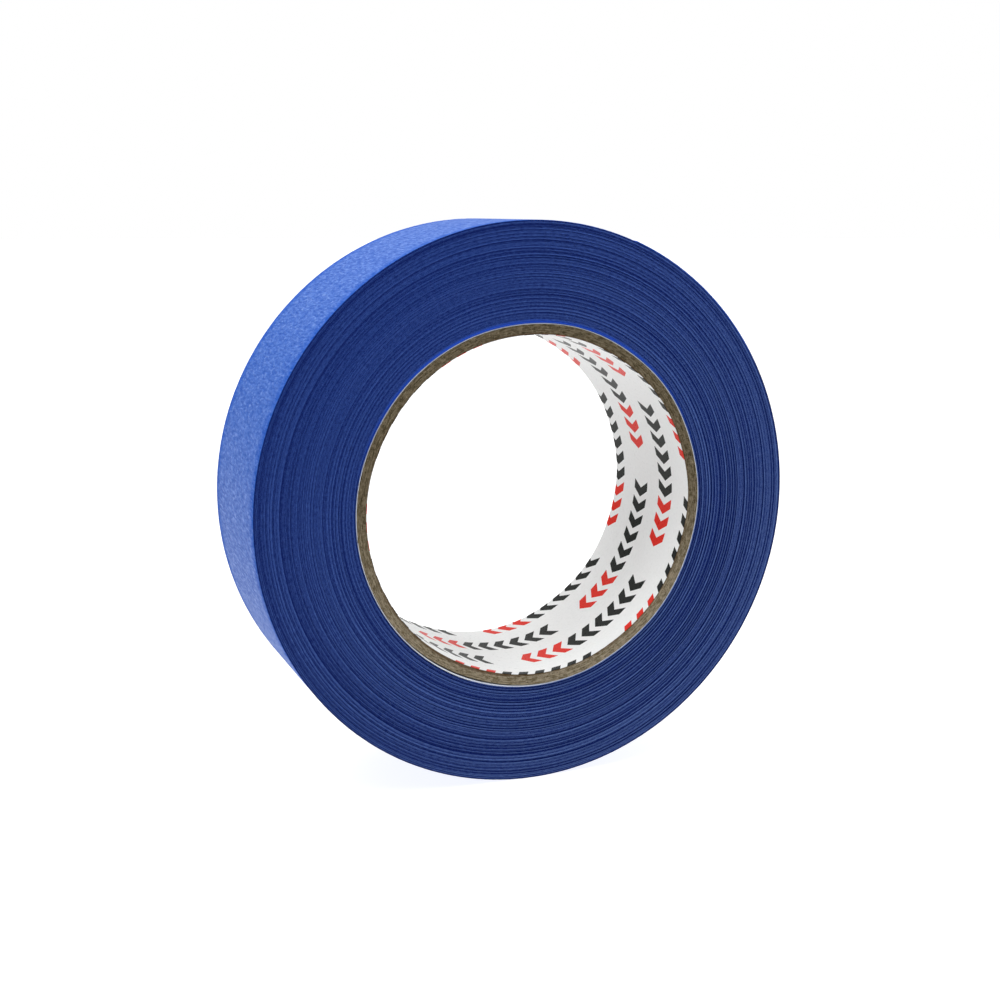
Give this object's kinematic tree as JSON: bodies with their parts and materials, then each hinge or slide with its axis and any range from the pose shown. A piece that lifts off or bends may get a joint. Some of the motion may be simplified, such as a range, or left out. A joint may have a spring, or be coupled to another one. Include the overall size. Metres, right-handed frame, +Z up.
{
  "type": "masking tape roll",
  "caption": "Roll of blue crepe masking tape on a spiral-wound chipboard core with a printed paper liner; the tape's free end lifts on a hinge to start peeling.",
  "frame": {"origin": "centre of the roll, on its axis and halfway across its width", "axes": "+Y along the roll's axis, from its front side to its back side; +Z up, with the roll standing on its rim; +X to the right seen from the front side"},
  "size_m": [0.1251, 0.038, 0.125],
  "materials": {
    "printed_paper": "satin",
    "chipboard": "matte",
    "pale_paper": "matte",
    "wound_tape": "matte",
    "crepe_backing": "matte"
  },
  "bodies": {
    "roll": {"core_liner": "printed_paper", "core_ply_1": "chipboard", "core_ply_2": "chipboard", "core_ply_3": "chipboard", "core_ply_4": "chipboard", "core_ply_5": "chipboard", "core_wrap": "pale_paper", "tape_first_turn": "wound_tape", "tape_winding": "wound_tape", "tape_last_turn": "crepe_backing"},
    "tape_end": {"tape_free_end": "crepe_backing"}
  },
  "joints": [
    {"name": "free_end_peel", "type": "hinge", "parent": "roll", "child": "tape_end", "pos_m": [0.04615, 0, 0.04229], "axis": [0, 1, 0], "range_deg": [0, 135]}
  ]
}
